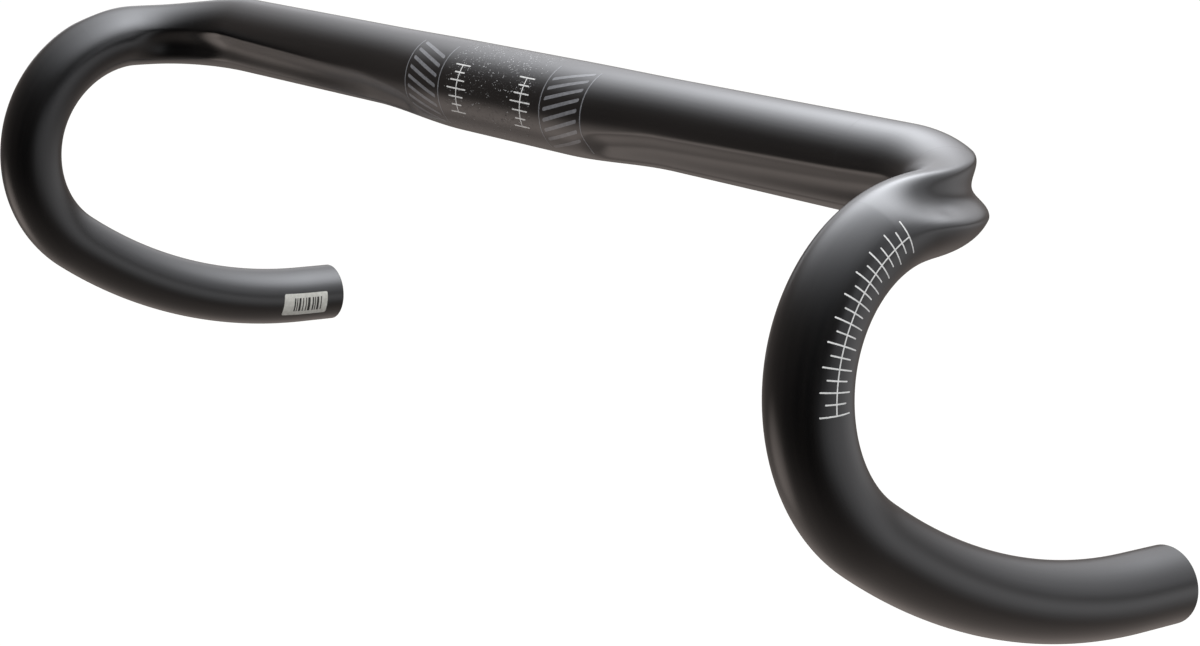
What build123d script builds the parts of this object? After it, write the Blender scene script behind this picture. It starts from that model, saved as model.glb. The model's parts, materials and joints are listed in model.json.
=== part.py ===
from build123d import *
import os
from math import cos, degrees, pi, radians, sin

# Compact drop handlebar for a road bicycle, moulded in carbon fibre.
#
# Frame: the origin is the centre of the stem clamp zone. +X points to the rider's left,
# -Y forwards and +Z up. Everything is modelled on the rider's left side and mirrored.
#
# The bar is seven tubes joined end to end: a centre section, and on each side a bend, a ramp
# and a drop. Each joint is a ferrule bonded inside both tubes, with a ring of adhesive that
# fills the gap between the two tube ends and shows there as a fine seam.

# ---------------------------------------------------------------- driving sizes, mm and degrees
hook_spacing = 440.0          # centre to centre of the two hooks, level with the tops
clamp_diameter = 31.8
clamp_length = 60.0           # round zone that the stem grips
clamp_land = 0.05             # the clamp zone stands this far above the tops' surface
clamp_wall = 2.6
wall = 2.0                    # every tube outside the clamp zone

tops_height = 29.0
tops_depth = 28.0
tops_lift = 1.2               # the tops' section sits above the clamp axis, so its top runs level
taper_length = 54.0           # from the round clamp zone to the full tops section
drop_diameter = 23.8          # round section that takes the brake levers and the tape
slim_length = 46.0            # from the start of the bend to the round section

corner_radius = 39.0          # plan bend from the tops to the ramp
corner_overlap = 6.0          # the hook starts to fall this far before the bend is finished
upper_hook_radius = 44.5
upper_hook_angle = 84.0
lower_hook_radius = 48.0
lower_hook_angle = 59.0
grip_radius = 200.0           # the lower grip is almost straight
grip_angle = 33.0
end_length = 16.0             # straight seat for a bar-end plug
flare_angle = 5.0             # the hooks lean outwards going down
end_break = 0.4               # broken outer edge at each bar end

front_channel_offset = 15.0   # from the clamp zone to the start of the front channel
front_channel_overrun = 0.7   # how far the front channel runs on past the bend
front_channel_fade = 14.0     # length over which the channel sinks to its full depth
front_channel_width = 12.5
front_channel_depth = 2.4
rear_channel_lead = 89.0      # the rear channel starts this far before the bend
rear_channel_overrun = 15.2
rear_channel_fade = 90.0
rear_channel_width = 17.0
rear_channel_depth = 5.8
channel_run_out = 24.0        # length over which both channels rise to the surface again

tops_joint_lead = 15.0        # the centre section ends this far before the bend
bend_joint_lead = 35.3        # the bend section ends this far before the end of the bend
ramp_joint_overrun = 13.4     # the ramp section ends this far past the bend
joint_gap = 0.3               # adhesive between two tube ends
ferrule_clearance = 0.1       # bond line between a ferrule and the tube round it
ferrule_wall = 1.4
ferrule_length = 20.0

cutter_size = 46.0            # cross-section of the blocks that cut the tubes to length
outline_count = 48            # points round each lofted section
section_spacing = 6.4         # distance between two lofted sections
loft_margin = 26.0            # the lofts run on this far past what is cut from them

# ---------------------------------------------------------------- worked out from them
clamp_end = clamp_length / 2
drop_radius = drop_diameter / 2
bend_length = corner_radius * pi / 2
bend_start = hook_spacing / 2 - corner_radius
bend_end = bend_start + bend_length
tops_joint = bend_start - tops_joint_lead
bend_joint = bend_end - bend_joint_lead
ramp_joint = bend_end + ramp_joint_overrun
front_channel_start = clamp_end + front_channel_offset
front_channel_end = bend_end + front_channel_overrun
rear_channel_start = bend_start - rear_channel_lead
rear_channel_end = bend_end + rear_channel_overrun
overlap_heading = degrees(corner_overlap / corner_radius)
overlap_pitch = degrees(corner_overlap / upper_hook_radius)
upper_hook_length = radians(upper_hook_angle) * upper_hook_radius
lower_hook_length = radians(lower_hook_angle) * lower_hook_radius
grip_length = radians(grip_angle) * grip_radius
ferrule_outside = wall + ferrule_clearance
ferrule_inside = ferrule_outside + ferrule_wall

# The centreline, as a bender's schedule: length, turn of heading and turn of pitch of each run.
schedule = [
    (bend_start, 0, 0),
    (bend_length - corner_overlap, 90 - overlap_heading, 0),
    (corner_overlap, overlap_heading, overlap_pitch),
    (upper_hook_length - corner_overlap, 0, upper_hook_angle - overlap_pitch),
    (lower_hook_length, 0, lower_hook_angle),
    (grip_length, 0, grip_angle),
    (end_length, 0, 0),
]
stops = [sum(run[0] for run in schedule[:count]) for count in range(len(schedule) + 1)]

# Height angle of each channel's middle round the section: 0 is the top, 90 the front of the tops
# and the inside of the bend, 270 the rear of the tops and the outside of the bend.
front_channel_angles = [
    (front_channel_start, 131),
    (clamp_end + taper_length, 121),
    (tops_joint, 111),
    (bend_end - slim_length / 2, 100),
    (front_channel_end, 100),
]
rear_channel_angles = [
    (rear_channel_start, 238),
    (tops_joint, 262),
    (bend_start + bend_length / 2, 283),
    (bend_end, 306),
    (rear_channel_end, 320),
]

forwards = Vector(0, -1, 0)
outwards = Vector(1, 0, 0)
downwards = Vector(sin(radians(flare_angle)), 0, -cos(radians(flare_angle)))


def smooth(share):
    """Ease from 0 to 1 as the share goes from 0 to 1."""
    share = min(1, max(0, share))
    return share * share * (3 - 2 * share)


def between(distance, table):
    """Value at a distance, from a table of distance and value pairs."""
    if distance <= table[0][0]:
        return table[0][1]
    for (near, first), (far, second) in zip(table, table[1:]):
        if distance <= far:
            return first + (second - first) * (distance - near) / (far - near)
    return table[-1][1]


def direction(heading, pitch):
    """Unit vector along the bar, and the one that is up across it."""
    level = outwards * cos(heading) + forwards * sin(heading)
    along = (level * cos(pitch) + downwards * sin(pitch)).normalized()
    above = level * sin(pitch) - downwards * cos(pitch)
    return along, (above - along * above.dot(along)).normalized()


def station(distance):
    """Plane across the bar at a distance along its centreline: x is up, z is along the bar."""
    point, heading, pitch = Vector(0, 0, 0), 0, 0
    left = distance
    for length, heading_turn, pitch_turn in schedule:
        share = min(1, left / length)
        steps = max(1, round(60 * share))
        turn, fall = radians(heading_turn) * share / steps, radians(pitch_turn) * share / steps
        for step in range(steps):
            along = direction(heading + turn / 2, pitch + fall / 2)[0]
            point += along * (length * share / steps)
            heading += turn
            pitch += fall
        left -= length
        if left <= 0:
            break
    along, above = direction(heading, pitch)
    return Plane(origin=point, x_dir=above, z_dir=along)


def spread(start, end, count):
    """Distances from start up to, but not at, the end."""
    return [start + (end - start) * step / count for step in range(count)]


def tube_shape(distance):
    """Half height, half depth and lift of the section, before the channels are pressed in."""
    full = smooth((distance - clamp_end) / taper_length)
    slim = smooth((distance - bend_start) / slim_length)
    land = clamp_diameter / 2 - clamp_land
    height = land + (tops_height / 2 - land) * full
    depth = land + (tops_depth / 2 - land) * full
    height += (drop_radius - height) * slim
    depth += (drop_radius - depth) * slim
    return height, depth, tops_lift * (full - slim)


def channels(distance):
    """Angle of the middle, half width and depth of the two channels at a distance."""
    front = front_channel_depth * smooth((distance - front_channel_start) / front_channel_fade)
    front *= smooth((front_channel_end - distance) / channel_run_out)
    rear = rear_channel_depth * smooth((distance - rear_channel_start) / rear_channel_fade)
    rear *= smooth((rear_channel_end - distance) / channel_run_out)
    return [
        (between(distance, front_channel_angles), front_channel_width / 2, front),
        (between(distance, rear_channel_angles), rear_channel_width / 2, rear),
    ]


def outline_point(distance, angle, inset):
    """Point of the tube's skin, or of a surface inside it, in the station's own plane."""
    height, depth, lift = tube_shape(distance)
    point = Vector((height - inset) * cos(radians(angle)), (depth - inset) * sin(radians(angle)))
    moved = point + Vector(lift, 0)
    for middle, half_width, channel_depth in channels(distance):
        inwards = Vector(-cos(radians(middle)), -sin(radians(middle)))
        offset = inwards.cross(point).Z / half_width
        if inwards.dot(point) < 0 and abs(offset) < 1:
            moved += inwards * channel_depth * cos(offset * pi / 2) ** 2
    return moved


def section(distance, inset):
    """Face across the bar: the outline of the tube, moved inwards by the inset."""
    plane = station(distance)
    points = [plane.from_local_coords(outline_point(distance, angle, inset))
              for angle in spread(0, 360, outline_count)]
    spline = Edge.make_spline(points, periodic=True, parameters=spread(0, 1, outline_count) + [1])
    return make_face(spline)


loft_start = clamp_end - loft_margin
loft_end = ramp_joint + ferrule_length / 2 + loft_margin
section_count = round((loft_end - loft_start) / section_spacing)
loft_stations = spread(loft_start, loft_end, section_count) + [loft_end]


def body(inset):
    """Solid from inside the clamp zone to past the ramp joint, inset from the outer surface."""
    return loft([section(distance, inset) for distance in loft_stations])


def block(start, end):
    """Block that follows the centreline between two distances, with square ends."""
    count = max(1, round((end - start) / 10))
    squares = [station(distance) * Rectangle(cutter_size, cutter_size)
               for distance in spread(start, end, count) + [end]]
    return loft(squares, ruled=True)


outer_body = body(0)
bore_body = body(wall)
ferrule_body = body(ferrule_outside)
hollow_body = body(ferrule_inside)


def shell(outside, inside, start, end):
    """Length of one body, with a smaller body taken out of it."""
    return (outside & block(start, end)) - inside


def tube(start, end):
    """Length of the hollow tube between two joints."""
    return shell(outer_body, bore_body, start, end)


def ferrule(joint):
    """Tube inside both sections at a joint."""
    return shell(ferrule_body, hollow_body, joint - ferrule_length / 2, joint + ferrule_length / 2)


def adhesive(joint):
    """Ring of adhesive that fills the gap between two tube ends, down to the ferrule."""
    return shell(outer_body, ferrule_body, joint - joint_gap / 2, joint + joint_gap / 2)


def centre():
    """Round clamp zone with the tops that run out of it on both sides."""
    clamp_radius = clamp_diameter / 2
    zone = Cylinder(clamp_radius, clamp_length) - Cylinder(clamp_radius - clamp_wall, clamp_length)
    tops = tube(clamp_end, tops_joint - joint_gap / 2)
    return zone.rotate(Axis.Y, 90) + tops + mirror(tops, about=Plane.YZ)


def drop():
    """Hook and lower grip, a round tube from the ramp joint to the bar's open end."""
    start = ramp_joint + joint_gap / 2
    turns = [
        (upper_hook_radius, degrees((stops[4] - start) / upper_hook_radius)),
        (lower_hook_radius, lower_hook_angle),
        (grip_radius, grip_angle),
    ]
    route = []
    point, tangent = Vector(0, 0), Vector(1, 0)
    for radius, angle in turns:
        arc = JernArc(start=point, tangent=tangent, radius=radius, arc_size=-angle)
        route.append(arc)
        point, tangent = arc @ 1, arc % 1
    route.append(Line(point, point + tangent * end_length))
    across = station(start)
    side = Plane(origin=across.origin, x_dir=across.z_dir, z_dir=across.y_dir)
    ring = Circle(drop_radius) - Circle(drop_radius - wall)
    hook = sweep(across * ring, path=side * Wire(route))
    mouth = station(stops[-1])
    rim = hook.edges().filter_by(GeomType.CIRCLE).sort_by_distance(mouth.origin + mouth.x_dir * drop_radius)
    outer_rim = [edge for edge in rim if abs(edge.radius - drop_radius) < wall / 2][0]
    return chamfer(outer_rim, end_break)


pieces = {"centre_section": centre()}
left_side = {
    "bend_section": tube(tops_joint + joint_gap / 2, bend_joint - joint_gap / 2),
    "ramp_section": tube(bend_joint + joint_gap / 2, ramp_joint - joint_gap / 2),
    "drop_section": drop(),
}
for name, joint in (("tops", tops_joint), ("bend", bend_joint), ("ramp", ramp_joint)):
    left_side[name + "_joint_ferrule"] = ferrule(joint)
    left_side[name + "_joint_adhesive"] = adhesive(joint)
for name, piece in left_side.items():
    pieces["left_" + name] = piece
    pieces["right_" + name] = mirror(piece, about=Plane.YZ)

os.makedirs("parts", exist_ok=True)
for name, piece in pieces.items():
    export_step(piece, "parts/" + name + ".step")
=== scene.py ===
import json
from functools import lru_cache
from math import cos, degrees, e, pi, radians, sin

import bpy
from bpy.props import FloatProperty, FloatVectorProperty, IntProperty, PointerProperty
from bpy.types import Operator, Panel, PropertyGroup
from mathutils import Matrix, Vector


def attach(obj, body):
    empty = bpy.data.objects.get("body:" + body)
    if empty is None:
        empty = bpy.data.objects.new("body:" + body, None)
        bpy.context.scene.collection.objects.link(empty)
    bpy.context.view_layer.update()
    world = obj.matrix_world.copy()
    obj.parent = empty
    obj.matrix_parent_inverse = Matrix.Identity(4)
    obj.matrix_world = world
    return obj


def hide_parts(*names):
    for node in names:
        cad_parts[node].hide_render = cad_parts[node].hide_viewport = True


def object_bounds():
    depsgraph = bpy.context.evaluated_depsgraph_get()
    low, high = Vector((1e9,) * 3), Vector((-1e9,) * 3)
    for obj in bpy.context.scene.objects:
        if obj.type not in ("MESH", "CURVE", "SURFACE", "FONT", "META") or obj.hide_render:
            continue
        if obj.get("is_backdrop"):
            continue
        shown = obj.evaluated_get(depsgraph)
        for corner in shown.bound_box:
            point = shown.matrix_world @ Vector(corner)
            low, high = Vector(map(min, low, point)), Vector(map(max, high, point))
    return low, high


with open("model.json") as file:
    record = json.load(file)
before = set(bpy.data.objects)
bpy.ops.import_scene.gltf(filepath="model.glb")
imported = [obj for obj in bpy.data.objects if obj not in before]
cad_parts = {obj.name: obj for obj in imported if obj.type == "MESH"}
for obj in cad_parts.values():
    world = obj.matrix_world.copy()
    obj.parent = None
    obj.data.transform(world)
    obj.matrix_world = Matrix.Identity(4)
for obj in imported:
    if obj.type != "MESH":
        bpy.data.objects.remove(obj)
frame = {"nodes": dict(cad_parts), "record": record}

bl_info = {
    "name": "Drop Handlebar",
    "version": (1, 0, 0),
    "blender": (4, 5, 0),
    "location": "3D View > Sidebar > Handlebar",
    "description": "Gives a packed drop handlebar its moulded carbon skin, its printed scales and a studio",
    "category": "Object",
}

MM = 0.001
MOUNTS = {mount["name"]: mount for mount in frame["record"]["mounts"]}

# The bar's form, in mm and degrees. It is the solids' own, but the channels' edges are crisper here,
# and the clamp zone's wall is as thin as the rest.
CLAMP_LENGTH = MOUNTS["stem_clamp"]["dims"]["length_mm"]
CLAMP_RADIUS = MOUNTS["stem_clamp"]["dims"]["r_mm"]
DROP_RADIUS = MOUNTS["left_lever_zone"]["dims"]["r_mm"]
END_LENGTH = MOUNTS["left_bar_end"]["dims"]["length_mm"]
WALL = DROP_RADIUS - MOUNTS["left_bar_end"]["dims"]["r_mm"]
HOOK_SPACING = 440.0
TOPS_HEIGHT = 29.0
TOPS_DEPTH = 28.0
TOPS_LIFT = 1.2
TAPER_LENGTH = 54.0
SLIM_LENGTH = 46.0
CORNER_RADIUS = 39.0
CORNER_OVERLAP = 6.0
UPPER_HOOK_RADIUS = 44.5
UPPER_HOOK_ANGLE = 84.0
LOWER_HOOK_RADIUS = 48.0
LOWER_HOOK_ANGLE = 59.0
GRIP_RADIUS = 200.0
GRIP_ANGLE = 33.0
FLARE_ANGLE = 5.0
END_BREAK = 0.4
CHANNEL_RUN_OUT = 24.0
JOINT_GAP = 0.3

# The edge is a power of the section across a channel: 2 is soft, as in the solids, and less is crisper.
FRONT_CHANNEL = {"fade": 14.0, "half_width": 6.25, "depth": 2.4, "edge": 1.3}
REAR_CHANNEL = {"fade": 90.0, "half_width": 8.5, "depth": 5.8, "edge": 1.5}

CLAMP_END = CLAMP_LENGTH / 2
BEND_START = HOOK_SPACING / 2 - CORNER_RADIUS
BEND_LENGTH = CORNER_RADIUS * pi / 2
BEND_END = BEND_START + BEND_LENGTH
OVERLAP_HEADING = degrees(CORNER_OVERLAP / CORNER_RADIUS)
OVERLAP_PITCH = degrees(CORNER_OVERLAP / UPPER_HOOK_RADIUS)
UPPER_HOOK_LENGTH = radians(UPPER_HOOK_ANGLE) * UPPER_HOOK_RADIUS
LOWER_HOOK_LENGTH = radians(LOWER_HOOK_ANGLE) * LOWER_HOOK_RADIUS
GRIP_LENGTH = radians(GRIP_ANGLE) * GRIP_RADIUS

# Distances along the centreline of the joints and of the ends of the channels. Each is set from the
# clamp zone's end or from one end of the bend.
TOPS_JOINT = BEND_START - 15.0
BEND_JOINT = BEND_END - 35.3
RAMP_JOINT = BEND_END + 13.4
FRONT_CHANNEL["start"] = CLAMP_END + 15.0
FRONT_CHANNEL["end"] = BEND_END + 0.7
REAR_CHANNEL["start"] = BEND_START - 89.0
REAR_CHANNEL["end"] = BEND_END + 15.2

# Length, turn of heading and turn of pitch of each run of the centreline, from the middle out.
SCHEDULE = [
    (BEND_START, 0, 0),
    (BEND_LENGTH - CORNER_OVERLAP, 90 - OVERLAP_HEADING, 0),
    (CORNER_OVERLAP, OVERLAP_HEADING, OVERLAP_PITCH),
    (UPPER_HOOK_LENGTH - CORNER_OVERLAP, 0, UPPER_HOOK_ANGLE - OVERLAP_PITCH),
    (LOWER_HOOK_LENGTH, 0, LOWER_HOOK_ANGLE),
    (GRIP_LENGTH, 0, GRIP_ANGLE),
    (END_LENGTH, 0, 0),
]
BAR_END = sum(run[0] for run in SCHEDULE)
STEPS_IN_RUN = 60

# Angle round the section of each channel's middle: 0 is the top, 90 the front of the tops.
FRONT_CHANNEL["angles"] = [
    (FRONT_CHANNEL["start"], 131),
    (CLAMP_END + TAPER_LENGTH, 121),
    (TOPS_JOINT, 111),
    (BEND_END - SLIM_LENGTH / 2, 100),
    (FRONT_CHANNEL["end"], 100),
]
REAR_CHANNEL["angles"] = [
    (REAR_CHANNEL["start"], 238),
    (TOPS_JOINT, 262),
    (BEND_START + BEND_LENGTH / 2, 283),
    (BEND_END, 306),
    (REAR_CHANNEL["end"], 320),
]

FORWARDS = Vector((0, -1, 0))
OUTWARDS = Vector((1, 0, 0))
DOWNWARDS = Vector((sin(radians(FLARE_ANGLE)), 0, -cos(radians(FLARE_ANGLE))))
SIDES = (("left", 1), ("right", -1))

# Modelling, in mm and degrees.
STATION_DIGITS = 4          # of a distance, so that the points of one ring share one stored station
MERGE_DISTANCE = 0.001
END_RING = 0.2              # width of a skin's first and last rings
RIM_TOLERANCE = 0.02
SMOOTH_ANGLE = 35
PRINT_CELL = 0.8            # of the grids that prints and the label are made from
CORNER_TOLERANCE = 1e-4

# Prints and label, in mm. The heights of the label and its bars over the skin are without the film's.
INK_SHARE = 0.6             # thickness of the ink, as a share of its film's height over the skin
CROSSING_LIFT = 0.004       # of the long line that crosses a scale's ticks
ROUND_END = 0.9             # corner radius of a line's ends, as a share of half its width
STEM_TICKS = (8.0, 5.2, 7.8, 10.6, 7.8, 5.2, 8.0)
LEVER_TICKS = (9.6, 6.4)
DASH_WIDTH = 1.3
DASH_SLANT = 0.3            # way round for each mm along the bar
DASH_MARGIN = 2.5           # from a hoop to the dashes' ends
LABEL_CORNER = 1.4
LABEL_HEIGHT = 0.05
BARS_HEIGHT = 0.08
BARS_CORNER = 0.05
BARS_MARGIN_ALONG = 3.0
BARS_MARGIN_ACROSS = 2.0
BARS_REPEATS = 3
# Widths of the bars and of the gaps after them, repeated along the label.
BARS = ((0.5, 0.9), (1.0, 0.6), (0.5, 0.5), (0.7, 1.1), (1.2, 0.6), (0.5, 1.0))

# Camera: bearing from the clamp, distance and offsets, in degrees and metres, and the sensor in mm.
CAMERA_AZIMUTH = 51.317
CAMERA_ELEVATION = 12.802
CAMERA_DISTANCE = 0.828998
CAMERA_RIGHT = 0.025916
CAMERA_UP = -0.049422
CAMERA_SHIFT = -0.0684
CAMERA_SENSOR = 36
CAMERA_BACK = Vector((
    sin(radians(CAMERA_AZIMUTH)) * cos(radians(CAMERA_ELEVATION)),
    -cos(radians(CAMERA_AZIMUTH)) * cos(radians(CAMERA_ELEVATION)),
    sin(radians(CAMERA_ELEVATION)),
))

# Level directions of the room: to the camera's side, and to the right as it looks.
ROOM_FRONT = Vector((CAMERA_BACK.x, CAMERA_BACK.y, 0)).normalized()
ROOM_RIGHT = Vector((cos(radians(CAMERA_AZIMUTH)), sin(radians(CAMERA_AZIMUTH)), 0))

# Stage, in metres and degrees.
FLOOR_SIZE = 8
FLOOR_GRAINS = 300.0        # across the sheet
FLOOR_GRAIN_SHADE = 0.97
FLOOR_WHITE_SHARE = 0.55    # of what the camera sees. The rest is paper, which the bar shades.
FLOOR_WHITE_STRENGTH = 1.3
SCRIM_SIZE = 12
SCRIM_LAMP = Vector((0.0, 0.257))
SCRIM_FADE_POWER = 1.5
SPILL_RISE = (-0.2, 0.6)    # how far behind the lamp the spill starts, and is full
SPILL_END = 5.0
SPILL_END_SHARE = 0.15
FILL_DISTANCE = 2.0
FILL_RISE = 0.6
FILL_SIZE = 1.5
SKY_ANGLE = 150

# Room. An aim is a bearing, from the camera's side to its right, and a rise, in degrees. A span is
# where a level starts and ends to change: by the cosine from its aim, or by the height of the look.
RIGHT_WALL_AIM = (80, -5)
RIGHT_WALL_SPAN = (0.3, 1.0)
RIGHT_WALL_FOOT = (-0.65, -0.15)
RIGHT_WALL_TOP = (-0.15, 0.15)
LEFT_LIGHT_AIM = (-105, -32)
LEFT_LIGHT_SPAN = (0.92, 1.0)
FRONT_TO_BACK = (-0.9, 1.0)
WALL_LEVELS = (0.008, 0.15)
FLOOR_LEVELS = (0.04, 0.48)
FLOOR_EDGE = (-0.85, -0.3)

# Cells of each pattern in a metre, beside the real size that it stands for.
STREAK_SCALE = 30.0         # 33 mm, over which a bundle of fibres drifts
MOTTLE_SCALE = 90.0         # 11 mm
PEEL_SCALE = 900.0          # 1.1 mm
SCRATCH_SCALE = 1200.0      # 0.8 mm
CLOUD_SCALE = 700.0         # 1.4 mm
BUNDLES_IN_TURN = 50.0      # bundles of fibre 1.5 mm wide, round a drop
PLY_THREAD = 0.6            # mm between the threads of the peel ply

# Grit: its fade at both ends of the zone in mm, the largest grain's radius as a share of the spacing
# and how steeply a grain turns bright. Grains get light grey painted glints, and low on the bar a larger
# share of them stays dark than on its top, as if lit from above, with both heights in mm.
GRIT_FADE = 5
GRIT_RADIUS = 0.5
GRIT_EDGE = 9.0
GRIT_HEIGHTS = (-4.0, 12.0)
GRIT_UNGLINTED_SHARES = (0.95, 0.6)

# Satin polyurethane clear coat over an epoxy surface, shared by tubes, joints and prints.
CLEAR_COAT = [("IOR", 1.6), ("Coat Weight", 1.0), ("Coat Roughness", 0.25), ("Coat IOR", 1.5)]


def smooth(share):
    """Ease from 0 to 1 as the share goes from 0 to 1."""
    share = min(1, max(0, share))
    return share * share * (3 - 2 * share)


def between(distance, table):
    """Value at a distance, from a table of distance and value pairs."""
    if distance <= table[0][0]:
        return table[0][1]
    for (near, first), (far, second) in zip(table, table[1:]):
        if distance <= far:
            return first + (second - first) * (distance - near) / (far - near)
    return table[-1][1]


def direction(heading, pitch):
    """Unit vector along the bar, and the one that is up across it."""
    level = OUTWARDS * cos(heading) + FORWARDS * sin(heading)
    along = (level * cos(pitch) + DOWNWARDS * sin(pitch)).normalized()
    above = level * sin(pitch) - DOWNWARDS * cos(pitch)
    return along, (above - along * above.dot(along)).normalized()


@lru_cache(maxsize=None)
def station(distance):
    """Point of the centreline at a distance from the middle, with the up and across vectors there."""
    point, heading, pitch = Vector((0, 0, 0)), 0, 0
    left = distance
    for length, heading_turn, pitch_turn in SCHEDULE:
        share = min(1, left / length)
        steps = max(1, round(STEPS_IN_RUN * share))
        turn, fall = radians(heading_turn) * share / steps, radians(pitch_turn) * share / steps
        for _ in range(steps):
            point += direction(heading + turn / 2, pitch + fall / 2)[0] * (length * share / steps)
            heading += turn
            pitch += fall
        left -= length
        if left <= 0:
            break
    along, above = direction(heading, pitch)
    return point, above, along.cross(above)


def tube_shape(distance):
    """Half height, half depth and lift of the section, before the channels are pressed in."""
    full = smooth((distance - CLAMP_END) / TAPER_LENGTH)
    slim = smooth((distance - BEND_START) / SLIM_LENGTH)
    height = CLAMP_RADIUS + (TOPS_HEIGHT / 2 - CLAMP_RADIUS) * full
    depth = CLAMP_RADIUS + (TOPS_DEPTH / 2 - CLAMP_RADIUS) * full
    height += (DROP_RADIUS - height) * slim
    depth += (DROP_RADIUS - depth) * slim
    return height, depth, TOPS_LIFT * (full - slim)


def channel_depth(channel, distance):
    """How deep a channel is at a distance: it fades in and runs out again."""
    sunk = smooth((distance - channel["start"]) / channel["fade"])
    return channel["depth"] * sunk * smooth((channel["end"] - distance) / CHANNEL_RUN_OUT)


def surface_point(distance, angle, inset):
    """Point on the bar's surface, or under it by the inset. Negative distances are on the right."""
    reach = round(abs(distance), STATION_DIGITS)
    centre, above, across = station(reach)
    height, depth, lift = tube_shape(reach)
    point = Vector(((height - inset) * cos(angle), (depth - inset) * sin(angle)))
    moved = point + Vector((lift, 0))
    for channel in (FRONT_CHANNEL, REAR_CHANNEL):
        middle = radians(between(reach, channel["angles"]))
        inwards = Vector((-cos(middle), -sin(middle)))
        offset = (inwards.x * point.y - inwards.y * point.x) / channel["half_width"]
        if inwards.dot(point) < 0 and abs(offset) < 1:
            moved += inwards * channel_depth(channel, reach) * cos(offset * pi / 2) ** channel["edge"]
    place = centre + above * moved.x + across * moved.y
    if distance < 0:
        place.x = -place.x
    return place * MM


# ---------------------------------------------------------------- modelling helpers


def deselect():
    """Leave edit mode and select nothing."""
    if bpy.context.object and bpy.context.object.mode != "OBJECT":
        bpy.ops.object.mode_set(mode="OBJECT")
    bpy.ops.object.select_all(action="DESELECT")


def pick(piece):
    """Select one piece and make it the active one."""
    deselect()
    piece.select_set(True)
    bpy.context.view_layer.objects.active = piece


def clear_selection(piece, kind):
    """Pick one piece with nothing selected in its mesh, so that its corners or edges can be chosen."""
    pick(piece)
    bpy.ops.object.mode_set(mode="EDIT")
    bpy.ops.mesh.select_mode(type=kind)
    bpy.ops.mesh.select_all(action="DESELECT")
    bpy.ops.object.mode_set(mode="OBJECT")


def flat_grid(name, x_range, y_range, x_cells, y_cells):
    """A flat grid over a range of distance and a range round the bar, both in mm."""
    deselect()
    middle = ((x_range[0] + x_range[1]) / 2, (y_range[0] + y_range[1]) / 2, 0)
    bpy.ops.mesh.primitive_grid_add(
        x_subdivisions=x_cells, y_subdivisions=y_cells, size=1, location=middle)
    piece = bpy.context.object
    piece.name = piece.data.name = name
    piece.scale = (x_range[1] - x_range[0], y_range[1] - y_range[0], 1)
    bpy.ops.object.transform_apply(location=True, rotation=True, scale=True)
    return piece


def lay_out_uv(piece):
    """UV map of a flat sheet: distance along the bar in metres, and way round it in turns."""
    layer = piece.data.uv_layers.active.data
    for loop in piece.data.loops:
        flat = piece.data.vertices[loop.vertex_index].co
        layer[loop.index].uv = (flat.x * MM, flat.y)


def wrap(piece, middle_angle, turn_length, inset=0.0):
    """Bend a flat piece round the bar. Its x is distance, y is way round and z is height over the skin."""
    for vertex in piece.data.vertices:
        distance, way, height = vertex.co
        angle = radians(middle_angle) - 2 * pi * way / turn_length
        vertex.co = surface_point(distance, angle, inset - height)
    piece.data.update()


def join(name, shapes):
    """Make one piece of several."""
    pick(shapes[0])
    for shape in shapes:
        shape.select_set(True)
    if len(shapes) > 1:
        bpy.ops.object.join()
    piece = bpy.context.object
    piece.name = piece.data.name = name
    return piece


def modify(piece, kind, **settings):
    """Add a modifier with its settings and apply it."""
    pick(piece)
    modifier = piece.modifiers.new(kind, kind)
    for name, value in settings.items():
        setattr(modifier, name, value)
    bpy.ops.object.modifier_apply(modifier=modifier.name)


def finish_piece(piece, material, replaced=()):
    """Smooth shading, material and place in the frame of a finished piece."""
    pick(piece)
    bpy.ops.object.shade_smooth_by_angle(angle=radians(SMOOTH_ANGLE))
    piece.data.materials.append(material_for(material))
    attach(piece, "root")
    if replaced:
        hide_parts(*replaced)


# ---------------------------------------------------------------- materials


def colour(value):
    """Linear colour from an sRGB hex value such as 1b1a1a."""
    channels = [int(value[place:place + 2], 16) / 255 for place in (0, 2, 4)]
    linear = [c / 12.92 if c <= 0.04045 else ((c + 0.055) / 1.055) ** 2.4 for c in channels]
    return (*linear, 1)


def new_material(name):
    """Node material with no nodes yet."""
    material = bpy.data.materials.new(name)
    material.use_nodes = True
    material.node_tree.nodes.clear()
    return material


def add(holder, kind, inputs=(), stops=(), **settings):
    """Add a node with its settings to a material or a world. An input is a socket's name and a value,
    or an output or node to link to it. Stops are a colour ramp's two positions and hex colours."""
    node = holder.node_tree.nodes.new(kind)
    for name, value in settings.items():
        setattr(node, name, value)
    for socket, value in inputs:
        if isinstance(value, bpy.types.Node):
            value = value.outputs[0]
        if isinstance(value, bpy.types.NodeSocket):
            holder.node_tree.links.new(value, node.inputs[socket])
        else:
            node.inputs[socket].default_value = value
    for index, (position, value) in enumerate(stops):
        node.color_ramp.elements[index].position = position
        node.color_ramp.elements[index].color = colour(value)
    return node


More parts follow.
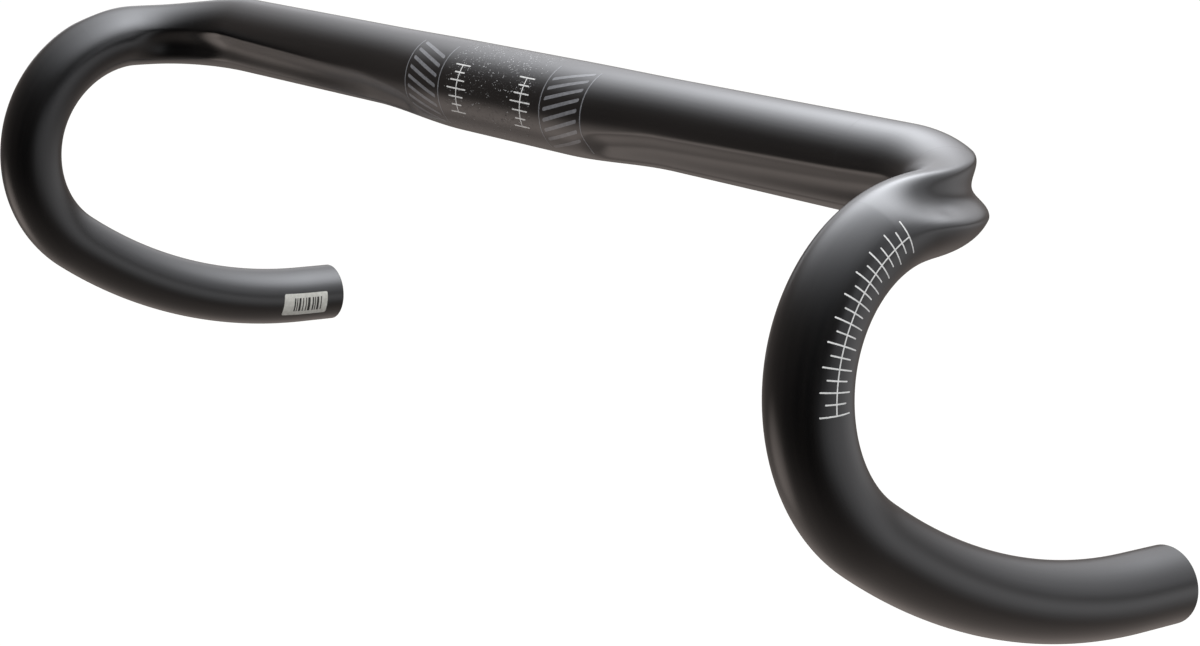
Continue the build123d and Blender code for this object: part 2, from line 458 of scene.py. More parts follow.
def carbon_material():
    """Moulded carbon fibre under a satin clear coat: near black, with faint streaks of fibre
    along the tube that only show where light grazes it, and a fine orange-peel in the coat."""
    finish = bpy.context.scene.handlebar_finish
    material = new_material("satin_coated_carbon")
    place = add(material, "ShaderNodeUVMap")
    solid = add(material, "ShaderNodeTexCoord").outputs["Object"]
    # Bundles of fibre run along the tube and drift slowly round it.
    spread = add(material, "ShaderNodeMapping", [
        ("Vector", place), ("Scale", (STREAK_SCALE, BUNDLES_IN_TURN, 1))])
    streaks = add(material, "ShaderNodeTexNoise", [("Vector", spread), ("Scale", 1.0), ("Detail", 3.0)])
    mottle = add(material, "ShaderNodeTexNoise", [
        ("Vector", solid), ("Scale", MOTTLE_SCALE), ("Detail", 2.0)])
    tone = add(material, "ShaderNodeValToRGB", [("Fac", streaks)], [(0.3, "080809"), (0.7, "0f0e0e")])
    rough = add(material, "ShaderNodeMapRange", [
        ("Value", mottle), ("To Min", finish.roughness - 0.04), ("To Max", finish.roughness + 0.04)])
    # Anti-slip grit, 0.3 mm grains in the coat of the clamp zone, fades out at both sides.
    along = add(material, "ShaderNodeSeparateXYZ", [("Vector", place)])
    reach = add(material, "ShaderNodeMath", [(0, along)], operation="ABSOLUTE")
    zone = add(material, "ShaderNodeMapRange", [
        ("Value", reach), ("From Min", finish.grit_reach * MM),
        ("From Max", (finish.grit_reach - GRIT_FADE) * MM)], interpolation_type="SMOOTHSTEP")
    grains = add(material, "ShaderNodeTexVoronoi", [
        ("Vector", solid), ("Scale", 1 / (finish.grit_spacing * MM))])
    chance = add(material, "ShaderNodeSeparateColor", [("Color", grains.outputs["Color"])])
    limit = add(material, "ShaderNodeMath", [
        (0, chance.outputs["Red"]), (1, GRIT_RADIUS)], operation="MULTIPLY")
    grain = add(material, "ShaderNodeMath", [
        (0, limit), (1, grains.outputs["Distance"])], operation="SUBTRACT", use_clamp=True)
    raised = add(material, "ShaderNodeMath", [(0, grain), (1, zone)], operation="MULTIPLY")
    bright = add(material, "ShaderNodeMath", [
        (0, raised), (1, GRIT_EDGE)], operation="MULTIPLY", use_clamp=True)
    # Painted highlights: a share of the grains gets a light grey painted glint, fewer low on the bar than on
    # its top, where light falls from above.
    upright = add(material, "ShaderNodeSeparateXYZ", [("Vector", solid)]).outputs["Z"]
    dark = add(material, "ShaderNodeMapRange", [
        ("Value", upright), ("From Min", GRIT_HEIGHTS[0] * MM), ("From Max", GRIT_HEIGHTS[1] * MM),
        ("To Min", GRIT_UNGLINTED_SHARES[0]), ("To Max", GRIT_UNGLINTED_SHARES[1])])
    glinting = add(material, "ShaderNodeMath", [
        (0, chance.outputs["Green"]), (1, dark)], operation="GREATER_THAN")
    painted_glint = add(material, "ShaderNodeMath", [(0, bright), (1, glinting)], operation="MULTIPLY")
    # The painted glints are mixed into the carbon's colour.
    base = add(material, "ShaderNodeMix", [
        ("Factor", painted_glint), ("A", tone), ("B", colour("aeb0b3"))], data_type="RGBA")
    # From the deepest layer up: the fibre, the coat's orange peel and the grit.
    fibre = add(material, "ShaderNodeBump", [
        ("Height", streaks), ("Strength", 0.1), ("Distance", 0.2 * MM)])
    peel = add(material, "ShaderNodeTexNoise", [("Vector", solid), ("Scale", PEEL_SCALE), ("Detail", 1.0)])
    coat = add(material, "ShaderNodeBump", [
        ("Height", peel), ("Normal", fibre), ("Strength", 0.08), ("Distance", 0.05 * MM)])
    grit = add(material, "ShaderNodeBump", [
        ("Height", raised), ("Normal", coat), ("Strength", 0.7), ("Distance", 0.6 * MM)])
    shader = add(material, "ShaderNodeBsdfPrincipled", [
        *CLEAR_COAT, ("Base Color", base.outputs[2]), ("Roughness", rough), ("Normal", grit)])
    add(material, "ShaderNodeOutputMaterial", [("Surface", shader)])
    return material


def ferrule_material():
    """Uncoated carbon ferrule with the woven print of peel ply, for the adhesive to key into: dark
    and dull, in squares of the ply's threads."""
    material = new_material("peel_ply_carbon")
    solid = add(material, "ShaderNodeTexCoord").outputs["Object"]
    weave = add(material, "ShaderNodeTexChecker", [
        ("Vector", solid), ("Scale", 1 / (PLY_THREAD * MM)),
        ("Color1", colour("232324")), ("Color2", colour("303031"))])
    bump = add(material, "ShaderNodeBump", [
        ("Height", weave.outputs["Fac"]), ("Strength", 0.4), ("Distance", 0.1 * MM)])
    shader = add(material, "ShaderNodeBsdfPrincipled", [
        ("Base Color", weave), ("Roughness", 0.7), ("Normal", bump)])
    add(material, "ShaderNodeOutputMaterial", [("Surface", shader)])
    return material


def adhesive_material():
    """Cured black epoxy, sanded flush and coated over: a hairline hardly lighter than the tubes, with
    fine scratches that vary its gloss."""
    material = new_material("cured_epoxy")
    solid = add(material, "ShaderNodeTexCoord").outputs["Object"]
    scratches = add(material, "ShaderNodeTexNoise", [
        ("Vector", solid), ("Scale", SCRATCH_SCALE), ("Detail", 2.0)])
    tone = add(material, "ShaderNodeValToRGB", [("Fac", scratches)], [(0.3, "0c0c0d"), (0.7, "161617")])
    rough = add(material, "ShaderNodeMapRange", [("Value", scratches), ("To Min", 0.3), ("To Max", 0.5)])
    shader = add(material, "ShaderNodeBsdfPrincipled", [
        *CLEAR_COAT, ("Base Color", tone), ("Roughness", rough)])
    add(material, "ShaderNodeOutputMaterial", [("Surface", shader)])
    return material


def ink_material(name, light, dark, roughness, coat):
    """Screen-printed ink or coated paper: flat in tone, but slightly cloudy."""
    material = new_material(name)
    solid = add(material, "ShaderNodeTexCoord").outputs["Object"]
    cloud = add(material, "ShaderNodeTexNoise", [("Vector", solid), ("Scale", CLOUD_SCALE), ("Detail", 3.0)])
    tone = add(material, "ShaderNodeValToRGB", [("Fac", cloud)], [(0.35, dark), (0.65, light)])
    rough = add(material, "ShaderNodeMapRange", [
        ("Value", cloud), ("To Min", roughness - 0.05), ("To Max", roughness + 0.05)])
    bump = add(material, "ShaderNodeBump", [
        ("Height", cloud), ("Strength", 0.15), ("Distance", 0.05 * MM)])
    shader = add(material, "ShaderNodeBsdfPrincipled", [
        *coat, ("Base Color", tone), ("Roughness", rough), ("Normal", bump)])
    add(material, "ShaderNodeOutputMaterial", [("Surface", shader)])
    return material


@lru_cache(maxsize=None)
def material_for(name):
    """The scene's materials, each made once. The bar's own prints lie under its clear coat."""
    inks = {
        "scale_ink": ("white_scale_ink", "eceded", "dcdedd", 0.36, CLEAR_COAT),
        "mark_ink": ("grey_mark_ink", "7d7f84", "6e7075", 0.36, CLEAR_COAT),
        "paper": ("coated_label_paper", "e2e2dc", "d3d3cc", 0.55, []),
        "label_ink": ("black_label_ink", "3a3936", "2c2b29", 0.6, []),
    }
    if name in inks:
        return ink_material(*inks[name])
    return {"carbon": carbon_material, "ferrule": ferrule_material, "adhesive": adhesive_material}[name]()


# ---------------------------------------------------------------- sizes and colours a user can change


class FinishSettings(PropertyGroup):
    """Surface of the moulded tubes."""

    roughness: FloatProperty(
        name="Surface roughness", description="Roughness of the moulded surface under the clear coat",
        default=0.3, min=0.05, max=1.0, subtype="FACTOR")
    grit_reach: FloatProperty(
        name="Grit reach", description="Half length of the anti-slip zone, in mm", default=27.0, min=5.0)
    grit_spacing: FloatProperty(
        name="Grit spacing", description="Typical distance between two grains, in mm",
        default=0.58, min=0.2)
    ring_step: FloatProperty(
        name="Ring step", description="Distance between two rings of the skins' meshes, in mm",
        default=1.5, min=0.5)
    ring_points: IntProperty(
        name="Ring points", description="Points round each ring of the skins", default=144, min=24)


class PrintSettings(PropertyGroup):
    """Printed scales, marks and label."""

    line_width: FloatProperty(
        name="Line width", description="Width of the stem scales' printed lines, in mm",
        default=0.5, min=0.2)
    fine_width: FloatProperty(
        name="Fine width", description="Width of the lever scales' printed lines, in mm",
        default=0.4, min=0.2)
    film: FloatProperty(
        name="Ink film", description="Height of the printed ink over the skin, in mm",
        default=0.03, min=0.01)
    stem_scale_place: FloatProperty(
        name="Stem scale place", description="Distance of each stem scale from the middle, in mm",
        default=18.3)
    stem_scale_angle: FloatProperty(
        name="Stem scale angle",
        description="Angle of the stem scales' middle, from the top to the front, in degrees",
        default=82.0)
    stem_scale_pitch: FloatProperty(
        name="Stem scale pitch", description="Angle between two ticks of the stem scales, in degrees",
        default=10.3)
    lever_scale_start: FloatProperty(
        name="Lever scale start", description="Distance of the lever scale's first tick, in mm",
        default=253.9)
    lever_scale_end: FloatProperty(
        name="Lever scale end", description="Distance of the lever scale's last tick, in mm", default=306.0)
    lever_scale_ticks: IntProperty(
        name="Lever scale ticks", description="Number of ticks of the lever scale", default=19)
    lever_scale_angle: FloatProperty(
        name="Lever scale angle", description="Angle of the lever scale round the hook, in degrees",
        default=276.0)
    band_start: FloatProperty(
        name="Band start", description="Distance of the marks' inner hoop from the middle, in mm",
        default=29.0)
    band_end: FloatProperty(
        name="Band end", description="Distance of the marks' outer hoop from the middle, in mm",
        default=50.0)
    dash_step: FloatProperty(
        name="Dash step", description="Way round from one dash to the next, in mm", default=3.6)
    dash_count: IntProperty(name="Dashes", description="Number of dashes in each band", default=8)
    label_place: FloatProperty(
        name="Label place",
        description="Distance of the stock label's middle from the middle of the bar, in mm",
        default=463.0)
    label_angle: FloatProperty(
        name="Label angle", description="Angle of the stock label round the drop, in degrees", default=86.0)
    label_length: FloatProperty(
        name="Label length", description="Length of the stock label, in mm", default=22.0)
    label_width: FloatProperty(
        name="Label width", description="Width of the stock label, in mm", default=10.0)


class StageSettings(PropertyGroup):
    """Floor, lamps and camera."""

    floor_colour: FloatVectorProperty(
        name="Floor colour", description="Colour of the floor as it is seen",
        default=colour("cdcdca")[:3], min=0.0, max=1.0, subtype="COLOR")
    floor_drop: FloatProperty(
        name="Floor drop", description="Height of the bar's lowest point above the floor",
        default=0.16, unit="LENGTH")
    fill_light: FloatProperty(
        name="Fill light", description="Power of the front fill, which gloss doesn't mirror",
        default=12.0, unit="POWER")
    sky_light: FloatProperty(
        name="Sky light", description="Strength of the even light from above, which gloss doesn't mirror",
        default=3.4)
    scrim_light: FloatProperty(
        name="Scrim light", description="Brightness of the scrim under its lamp, where 1 is white",
        default=6.0)
    scrim_height: FloatProperty(
        name="Scrim height", description="Height of the scrim above the clamp", default=0.5, unit="LENGTH")
    scrim_width: FloatProperty(
        name="Scrim width", description="Way across over which the scrim darkens to a third",
        default=0.5, unit="LENGTH")
    scrim_depth: FloatProperty(
        name="Scrim depth", description="Way forwards over which the scrim darkens to a third",
        default=0.36, unit="LENGTH")
    spill_light: FloatProperty(
        name="Spill light", description="Brightness of the scrim's far part, behind the bar", default=0.7)
    window_light: FloatProperty(
        name="Window light", description="Brightness of the low light at the left", default=0.6)
    wall_light: FloatProperty(
        name="Wall light", description="Brightness of the pale wall at the right", default=0.6)
    lens: FloatProperty(name="Lens", description="Camera's focal length", default=72.55, unit="CAMERA")


# ---------------------------------------------------------------- pieces


def skin(name, start, end):
    """Tube wall between two distances: a flat sheet rolled round the bar, closed and given its wall."""
    finish = bpy.context.scene.handlebar_finish
    rings = max(2, round((end - start) / finish.ring_step))
    piece = flat_grid(name, (start, end), (0, 1), rings, finish.ring_points)
    if end - start > finish.ring_step:
        narrow_ends(piece, start, end, rings)
    lay_out_uv(piece)
    wrap(piece, 0, 1)
    pick(piece)
    bpy.ops.object.mode_set(mode="EDIT")
    bpy.ops.mesh.select_all(action="SELECT")
    bpy.ops.mesh.remove_doubles(threshold=MERGE_DISTANCE * MM)
    bpy.ops.object.mode_set(mode="OBJECT")
    modify(piece, "SOLIDIFY", thickness=WALL * MM, offset=-1, use_even_offset=True)
    return piece


def narrow_ends(piece, start, end, rings):
    """Make the first and last rings narrow, so that both sides of a joint shade alike."""
    step = (end - start) / rings
    for vertex in piece.data.vertices:
        ring = round((vertex.co.x - start) / step)
        if 0 < ring < rings:
            vertex.co.x = start + END_RING + (ring - 1) * (end - start - 2 * END_RING) / (rings - 2)


def break_rim(piece, end):
    """Chamfer the outer edge of a bar end, as it is left by sanding the cut."""
    centre = surface_point(end, 0, DROP_RADIUS)
    clear_selection(piece, "EDGE")
    for edge in piece.data.edges:
        corners = [piece.data.vertices[index].co for index in edge.vertices]
        off_rim = [abs((corner - centre).length - DROP_RADIUS * MM) for corner in corners]
        edge.select = max(off_rim) < RIM_TOLERANCE * MM
    bpy.ops.object.mode_set(mode="EDIT")
    bpy.ops.mesh.bevel(offset=END_BREAK * MM, segments=2, affect="EDGES")
    bpy.ops.object.mode_set(mode="OBJECT")


def plate(x_range, y_range, corner, lift=0.0):
    """Flat shape with rounded corners over a range of distance and of way round, in mm."""
    cells = [max(1, round((high - low) / PRINT_CELL)) for low, high in (x_range, y_range)]
    shape = flat_grid("plate", x_range, y_range, *cells)
    clear_selection(shape, "VERT")
    for vertex in shape.data.vertices:
        at_x = min(abs(vertex.co.x - side) for side in x_range) < CORNER_TOLERANCE
        at_y = min(abs(vertex.co.y - side) for side in y_range) < CORNER_TOLERANCE
        vertex.select = at_x and at_y
        vertex.co.z = lift
    bpy.ops.object.mode_set(mode="EDIT")
    bpy.ops.mesh.bevel(offset=corner, segments=3, affect="VERTICES")
    bpy.ops.object.mode_set(mode="OBJECT")
    return shape


def stroke(start, end, width, lift=0.0):
    """Flat printed line with rounded ends between two points, in mm, along x or y."""
    half = width / 2
    x_range, y_range = ((min(pair) - half, max(pair) + half) for pair in zip(start, end))
    return plate(x_range, y_range, half * ROUND_END, lift)


def print_on_bar(name, shapes, angle, radius, material, height=0.0):
    """Join flat shapes, wrap them round the bar at an angle and give the ink its film."""
    film = bpy.context.scene.handlebar_print.film
    piece = join(name, shapes)
    wrap(piece, angle, 2 * pi * radius, -height - film)
    modify(piece, "SOLIDIFY", thickness=film * INK_SHARE * MM, offset=-1)
    finish_piece(piece, material)


class HANDLEBAR_OT_mould_centre(Operator):
    """Mould the centre section: the clamp zone and both tops"""

    bl_idname = "handlebar.mould_centre"
    bl_label = "Mould centre section"

    def execute(self, context):
        reach = TOPS_JOINT - JOINT_GAP / 2
        piece = skin("centre_skin", -reach, reach)
        finish_piece(piece, "carbon", ["centre_section"])
        return {"FINISHED"}


class HANDLEBAR_OT_mould_sides(Operator):
    """Mould the bends, ramps and drops of both sides"""

    bl_idname = "handlebar.mould_sides"
    bl_label = "Mould bends, ramps and drops"

    def execute(self, context):
        spans = {
            "bend": (TOPS_JOINT + JOINT_GAP / 2, BEND_JOINT - JOINT_GAP / 2),
            "ramp": (BEND_JOINT + JOINT_GAP / 2, RAMP_JOINT - JOINT_GAP / 2),
            "drop": (RAMP_JOINT + JOINT_GAP / 2, BAR_END),
        }
        for side, sign in SIDES:
            for part, (near, far) in spans.items():
                start, end = sorted((sign * near, sign * far))
                piece = skin(f"{side}_{part}_skin", start, end)
                if part == "drop":
                    break_rim(piece, sign * BAR_END)
                finish_piece(piece, "carbon", [f"{side}_{part}_section"])
        return {"FINISHED"}


class HANDLEBAR_OT_finish_joints(Operator):
    """Lay the adhesive into the joints and give the ferrules their material"""

    bl_idname = "handlebar.finish_joints"
    bl_label = "Finish joints"

    def execute(self, context):
        for name, node in frame["nodes"].items():
            if name.endswith("ferrule"):
                for place in node.material_slots:
                    place.material = material_for("ferrule")
        joints = {"tops_joint": TOPS_JOINT, "bend_joint": BEND_JOINT, "ramp_joint": RAMP_JOINT}
        for side, sign in SIDES:
            for joint, place in joints.items():
                start, end = sorted((sign * (place - JOINT_GAP / 2), sign * (place + JOINT_GAP / 2)))
                line = skin(f"{side}_{joint}_line", start, end)
                finish_piece(line, "adhesive", [f"{side}_{joint}_adhesive"])
        return {"FINISHED"}


class HANDLEBAR_OT_print_stem_scales(Operator):
    """Print the rotation scales on both sides of the stem clamp"""

    bl_idname = "handlebar.print_stem_scales"
    bl_label = "Print stem scales"

    def execute(self, context):
        prints = context.scene.handlebar_print
        pitch = radians(prints.stem_scale_pitch) * CLAMP_RADIUS
        top = pitch * (len(STEM_TICKS) - 1) / 2
        for side, sign in SIDES:
            place = sign * prints.stem_scale_place
            strokes = [stroke((place, -top), (place, top), prints.line_width, CROSSING_LIFT)]
            for count, length in enumerate(STEM_TICKS):
                height = top - pitch * count
                ends = (place - length / 2, height), (place + length / 2, height)
                strokes.append(stroke(*ends, prints.line_width))
            print_on_bar(f"{side}_stem_scale", strokes, prints.stem_scale_angle, CLAMP_RADIUS, "scale_ink")
        return {"FINISHED"}


class HANDLEBAR_OT_print_lever_scales(Operator):
    """Print the lever scales down the outer face of both hooks"""

    bl_idname = "handlebar.print_lever_scales"
    bl_label = "Print lever scales"

    def execute(self, context):
        prints = context.scene.handlebar_print
        step = (prints.lever_scale_end - prints.lever_scale_start) / (prints.lever_scale_ticks - 1)
        for side, sign in SIDES:
            ends = sorted((sign * prints.lever_scale_start, sign * prints.lever_scale_end))
            strokes = [stroke((ends[0], 0), (ends[1], 0), prints.fine_width, CROSSING_LIFT)]
            for count in range(prints.lever_scale_ticks):
                length = LEVER_TICKS[count % 2]
                place = sign * (prints.lever_scale_start + step * count)
                strokes.append(stroke((place, -length / 2), (place, length / 2), prints.fine_width))
            print_on_bar(f"{side}_lever_scale", strokes, prints.lever_scale_angle, DROP_RADIUS, "scale_ink")
        return {"FINISHED"}


class HANDLEBAR_OT_print_marks(Operator):
    """Print a plain band of slanted grey dashes between two hoops beside each stem scale"""

    bl_idname = "handlebar.print_marks"
    bl_label = "Print grey marks"

    def execute(self, context):
        prints = context.scene.handlebar_print
        top = prints.dash_step * (prints.dash_count - 1) / 2
        middle = (prints.band_start + prints.band_end) / 2
        reach = (prints.band_end - prints.band_start) / 2 - DASH_MARGIN
        for side, sign in SIDES:
            shapes = []
            for place in (prints.band_start, prints.band_end):
                ends = (sign * place, -top - prints.dash_step), (sign * place, top + prints.dash_step)
                shapes.append(stroke(*ends, prints.line_width))
            for count in range(prints.dash_count):
                height = top - prints.dash_step * count
                ends = (sign * middle - reach, height), (sign * middle + reach, height)
                dash = stroke(*ends, DASH_WIDTH)
                for vertex in dash.data.vertices:
                    vertex.co.y += sign * DASH_SLANT * (vertex.co.x - sign * middle)
                shapes.append(dash)
            print_on_bar(f"{side}_grey_marks", shapes, prints.stem_scale_angle, CLAMP_RADIUS, "mark_ink")
        return {"FINISHED"}


class HANDLEBAR_OT_stick_label(Operator):
    """Stick a small plain stock label inside the right drop"""

    bl_idname = "handlebar.stick_label"
    bl_label = "Stick stock label"

    def execute(self, context):
        prints = context.scene.handlebar_print
        half_length, half_width = prints.label_length / 2, prints.label_width / 2
        start, end = -prints.label_place - half_length, -prints.label_place + half_length
        paper = plate((start, end), (-half_width, half_width), LABEL_CORNER)
        print_on_bar("stock_label", [paper], prints.label_angle, DROP_RADIUS, "paper", LABEL_HEIGHT)
        across = -half_width + BARS_MARGIN_ACROSS, half_width - BARS_MARGIN_ACROSS
        bars, place = [], start + BARS_MARGIN_ALONG
        for bar, gap in BARS * BARS_REPEATS:
            if place + bar > end - BARS_MARGIN_ALONG:
                break
            bars.append(plate((place, place + bar), across, BARS_CORNER))
            place += bar + gap
        print_on_bar("stock_label_bars", bars, prints.label_angle, DROP_RADIUS, "label_ink", BARS_HEIGHT)
        return {"FINISHED"}


# ---------------------------------------------------------------- stage


class HANDLEBAR_OT_build_stage(Operator):
    """Floor, scrim, room, lamps and camera"""

    bl_idname = "handlebar.build_stage"
    bl_label = "Build studio"

    def execute(self, context):
        settings = context.scene.handlebar_stage
        context.scene.view_settings.view_transform = "Standard"
        build_floor(settings)
        build_scrim(settings)
        build_world(context.scene, settings)
        build_lamps(settings)
        build_camera(context.scene, settings)
        return {"FINISHED"}


def build_floor(settings):
    """Sheet of studio paper under the bar. It lights nothing and doesn't show in gloss."""
    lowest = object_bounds()[0].z
    deselect()
    bpy.ops.mesh.primitive_plane_add(size=FLOOR_SIZE, location=(0, 0, lowest - settings.floor_drop))
    floor = bpy.context.object
    floor.name = "floor"
    floor.data.materials.append(floor_material(settings))
    floor.visible_glossy = floor.visible_diffuse = False
    floor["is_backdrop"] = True


def floor_material(settings):
    """Matt white studio paper. The camera sees it white except where the bar shades it."""
    material = new_material("studio_paper")
    shade = (*[value * FLOOR_GRAIN_SHADE for value in settings.floor_colour], 1)
    grain = add(material, "ShaderNodeTexNoise", [("Scale", FLOOR_GRAINS), ("Detail", 4.0)])
    tone = add(material, "ShaderNodeMix", [
        ("Factor", grain), ("A", (*settings.floor_colour, 1)), ("B", shade)], data_type="RGBA")
    paper = add(material, "ShaderNodeBsdfPrincipled", [("Base Color", tone.outputs[2]), ("Roughness", 0.9)])
    seen = add(material, "ShaderNodeLightPath").outputs["Is Camera Ray"]
    white = add(material, "ShaderNodeEmission", [("Strength", FLOOR_WHITE_STRENGTH)])
    share = add(material, "ShaderNodeMath", [(0, seen), (1, FLOOR_WHITE_SHARE)], operation="MULTIPLY")
    both = add(material, "ShaderNodeMixShader", [("Fac", share), (1, paper), (2, white)])
    add(material, "ShaderNodeOutputMaterial", [("Surface", both)])
    return material


def build_scrim(settings):
    """Diffusion cloth hung over the bar. It only shows in gloss, and the room shines through it."""
    deselect()
    bpy.ops.mesh.primitive_plane_add(size=SCRIM_SIZE, location=(0, 0, 0))
    scrim = bpy.context.object
    scrim.name = "scrim"
    scrim.data.materials.append(scrim_material(settings))
    scrim.location = SCRIM_LAMP.x, SCRIM_LAMP.y, settings.scrim_height
    scrim.visible_camera = scrim.visible_diffuse = False
    scrim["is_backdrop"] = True


def scrim_material(settings):
    """Diffusion cloth, brightest under its lamp, with the lamp's spill on its far part."""
    material = new_material("diffusion_cloth")
    place = add(material, "ShaderNodeTexCoord").outputs["Object"]
    stretched = add(material, "ShaderNodeMapping", [
        ("Vector", place), ("Scale", (1 / settings.scrim_width, 1 / settings.scrim_depth, 1))])
    reach = add(material, "ShaderNodeVectorMath", [(0, stretched)], operation="LENGTH").outputs["Value"]
    steep = add(material, "ShaderNodeMath", [(0, reach), (1, SCRIM_FADE_POWER)], operation="POWER")
    fade = add(material, "ShaderNodeMath", [(0, 1 / e), (1, steep)], operation="POWER")
    behind = add(material, "ShaderNodeSeparateXYZ", [("Vector", place)]).outputs["Y"]
    spill = add(material, "ShaderNodeMapRange", [
        ("Value", behind), ("From Min", SPILL_RISE[0]), ("From Max", SPILL_RISE[1]),
        ("To Min", 0.0), ("To Max", settings.spill_light)], interpolation_type="SMOOTHSTEP")
    far = add(material, "ShaderNodeMapRange", [
        ("Value", behind), ("From Min", SPILL_RISE[1]), ("From Max", SPILL_END),
        ("To Min", 1.0), ("To Max", SPILL_END_SHARE)], interpolation_type="LINEAR")
    dimmed = add(material, "ShaderNodeMath", [(0, spill), (1, far)], operation="MULTIPLY")
    level = add(material, "ShaderNodeMath", [
        (0, fade), (1, settings.scrim_light), (2, dimmed)], operation="MULTIPLY_ADD")
    glow = add(material, "ShaderNodeEmission", [("Color", colour("f3f6fc")), ("Strength", level)])
    clear = add(material, "ShaderNodeBsdfTransparent")
    both = add(material, "ShaderNodeAddShader", [(0, glow), (1, clear)])
    add(material, "ShaderNodeOutputMaterial", [("Surface", both)])
    return material


def build_world(scene, settings):
    """Room round the bar: a pale wall at the right, low light at the left, a dim wall behind that
    darkens to the front, and a warm floor. The camera sees plain white."""
    world = bpy.data.worlds.new("studio")
    world.use_nodes = True
    scene.world = world
    world.node_tree.nodes.clear()
    aim = add(world, "ShaderNodeTexCoord").outputs["Generated"]
    height = add(world, "ShaderNodeSeparateXYZ", [("Vector", aim)]).outputs["Z"]

    def towards(target):
        near = add(world, "ShaderNodeVectorMath", [(0, aim), (1, target)], operation="DOT_PRODUCT")
        return near.outputs["Value"]

    def aimed(bearing, rise):
        level = ROOM_FRONT * cos(radians(bearing)) + ROOM_RIGHT * sin(radians(bearing))
        return towards(level * cos(radians(rise)) + Vector((0, 0, sin(radians(rise)))))

    def ease(value, span, levels=(0.0, 1.0), kind="SMOOTHSTEP"):
        return add(world, "ShaderNodeMapRange", [
            ("Value", value), ("From Min", span[0]), ("From Max", span[1]),
            ("To Min", levels[0]), ("To Max", levels[1])], interpolation_type=kind)

    side = ease(aimed(*RIGHT_WALL_AIM), RIGHT_WALL_SPAN, (0.0, settings.wall_light))
    foot = ease(height, RIGHT_WALL_FOOT)
    top = ease(height, RIGHT_WALL_TOP, (1.0, 0.0))
    band = add(world, "ShaderNodeMath", [(0, foot), (1, top)], operation="MULTIPLY")
    right_wall = add(world, "ShaderNodeMath", [(0, side), (1, band)], operation="MULTIPLY")
    left_light = ease(aimed(*LEFT_LIGHT_AIM), LEFT_LIGHT_SPAN, (0.0, settings.window_light))
    wall = ease(towards(-ROOM_FRONT), FRONT_TO_BACK, WALL_LEVELS, "LINEAR")
    floor = ease(towards(-ROOM_FRONT), FRONT_TO_BACK, FLOOR_LEVELS, "LINEAR")
    above = ease(height, FLOOR_EDGE)
    room = add(world, "ShaderNodeMix", [("Factor", above), ("A", floor), ("B", wall)], data_type="FLOAT")
    dim = add(world, "ShaderNodeMath", [(0, room), (1, left_light)], operation="ADD")
    cool = add(world, "ShaderNodeBackground", [("Color", colour("f6f7fb")), ("Strength", right_wall)])
    warm = add(world, "ShaderNodeBackground", [("Color", colour("fff0e8")), ("Strength", dim)])
    both = add(world, "ShaderNodeAddShader", [(0, cool), (1, warm)])
    white = add(world, "ShaderNodeBackground", [("Color", colour("ffffff")), ("Strength", 1.0)])
    seen = add(world, "ShaderNodeLightPath").outputs["Is Camera Ray"]
    shown = add(world, "ShaderNodeMixShader", [("Fac", seen), (1, both), (2, white)])
    add(world, "ShaderNodeOutputWorld", [("Surface", shown)])


def hang_lamp(name, kind, power):
    """Lamp that lights plain colour alone: neither the camera nor gloss sees it."""
    lamp = bpy.data.objects.new(name, bpy.data.lights.new(name, kind))
    lamp.data.energy = power
    lamp.visible_camera = lamp.visible_glossy = False
    bpy.context.scene.collection.objects.link(lamp)
    return lamp


def build_lamps(settings):
    """A broad fill at the camera's side that looks at the clamp, and an even sky, so that prints are
    as light as they are coloured."""
    fill = hang_lamp("front_fill", "AREA", settings.fill_light)
    fill.data.size = FILL_SIZE
    fill.location = CAMERA_BACK * FILL_DISTANCE + Vector((0, 0, FILL_RISE))
    fill.rotation_euler = (-fill.location).to_track_quat("-Z", "Y").to_euler()
    sky = hang_lamp("sky", "SUN", settings.sky_light)
    sky.data.angle = radians(SKY_ANGLE)


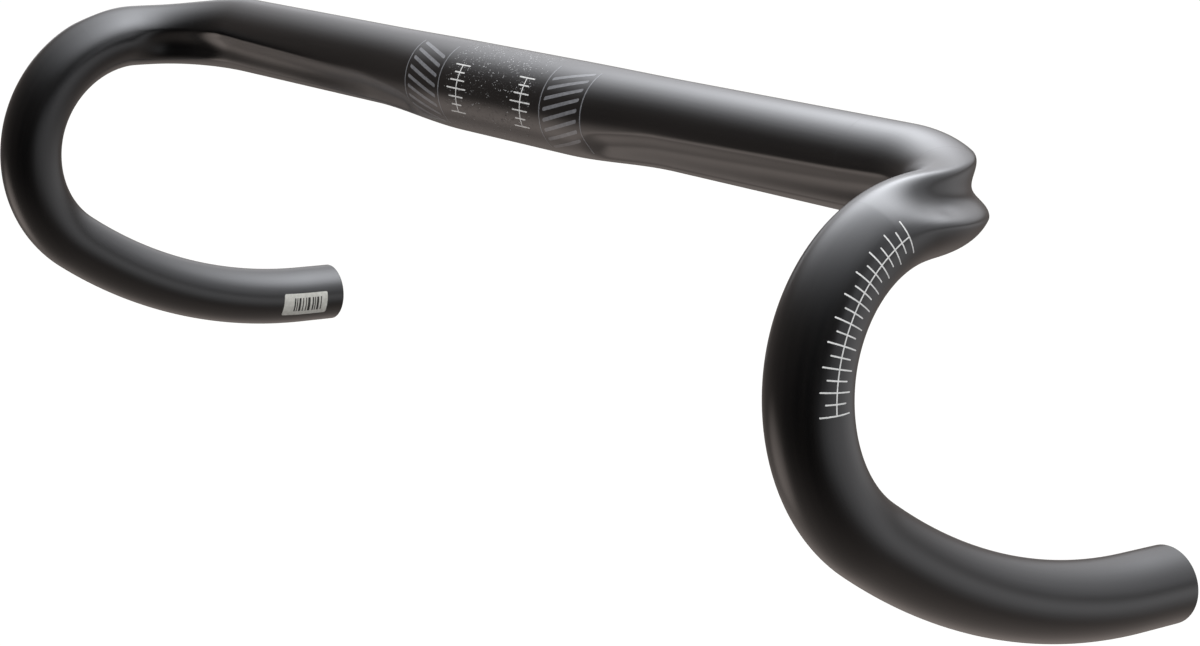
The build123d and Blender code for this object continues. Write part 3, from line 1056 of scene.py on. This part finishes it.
def build_camera(scene, settings):
    """Camera a little above the bar, in front and to the rider's left."""
    up = CAMERA_BACK.cross(ROOM_RIGHT)
    camera = bpy.data.objects.new("camera", bpy.data.cameras.new("camera"))
    scene.collection.objects.link(camera)
    place = CAMERA_BACK * CAMERA_DISTANCE + ROOM_RIGHT * CAMERA_RIGHT + up * CAMERA_UP
    turn = Matrix((ROOM_RIGHT, up, CAMERA_BACK)).transposed().to_4x4()
    camera.matrix_world = Matrix.Translation(place) @ turn
    camera.data.sensor_width = CAMERA_SENSOR
    camera.data.lens = settings.lens
    camera.data.shift_y = CAMERA_SHIFT
    scene.camera = camera


# ---------------------------------------------------------------- panel and registration


OPERATORS = (
    HANDLEBAR_OT_mould_centre,
    HANDLEBAR_OT_mould_sides,
    HANDLEBAR_OT_finish_joints,
    HANDLEBAR_OT_print_stem_scales,
    HANDLEBAR_OT_print_lever_scales,
    HANDLEBAR_OT_print_marks,
    HANDLEBAR_OT_stick_label,
    HANDLEBAR_OT_build_stage,
)


class HANDLEBAR_PT_panel(Panel):
    """Steps of the handlebar, in order"""

    bl_idname = "HANDLEBAR_PT_panel"
    bl_label = "Drop Handlebar"
    bl_space_type = "VIEW_3D"
    bl_region_type = "UI"
    bl_category = "Handlebar"

    def draw(self, context):
        scene = context.scene
        for operator in OPERATORS:
            self.layout.operator(operator.bl_idname)
        for settings in (scene.handlebar_finish, scene.handlebar_print, scene.handlebar_stage):
            box = self.layout.box()
            for name in settings.__annotations__:
                box.prop(settings, name)


CLASSES = (FinishSettings, PrintSettings, StageSettings, *OPERATORS, HANDLEBAR_PT_panel)


def register():
    for item in CLASSES:
        bpy.utils.register_class(item)
    bpy.types.Scene.handlebar_finish = PointerProperty(type=FinishSettings)
    bpy.types.Scene.handlebar_print = PointerProperty(type=PrintSettings)
    bpy.types.Scene.handlebar_stage = PointerProperty(type=StageSettings)


def unregister():
    del bpy.types.Scene.handlebar_stage
    del bpy.types.Scene.handlebar_print
    del bpy.types.Scene.handlebar_finish
    for item in reversed(CLASSES):
        bpy.utils.unregister_class(item)


def main():
    """Make every piece in order."""
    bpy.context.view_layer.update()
    register()
    for operator in OPERATORS:
        section, name = operator.bl_idname.split(".")
        getattr(getattr(bpy.ops, section), name)()


if __name__ == "__main__":
    main()
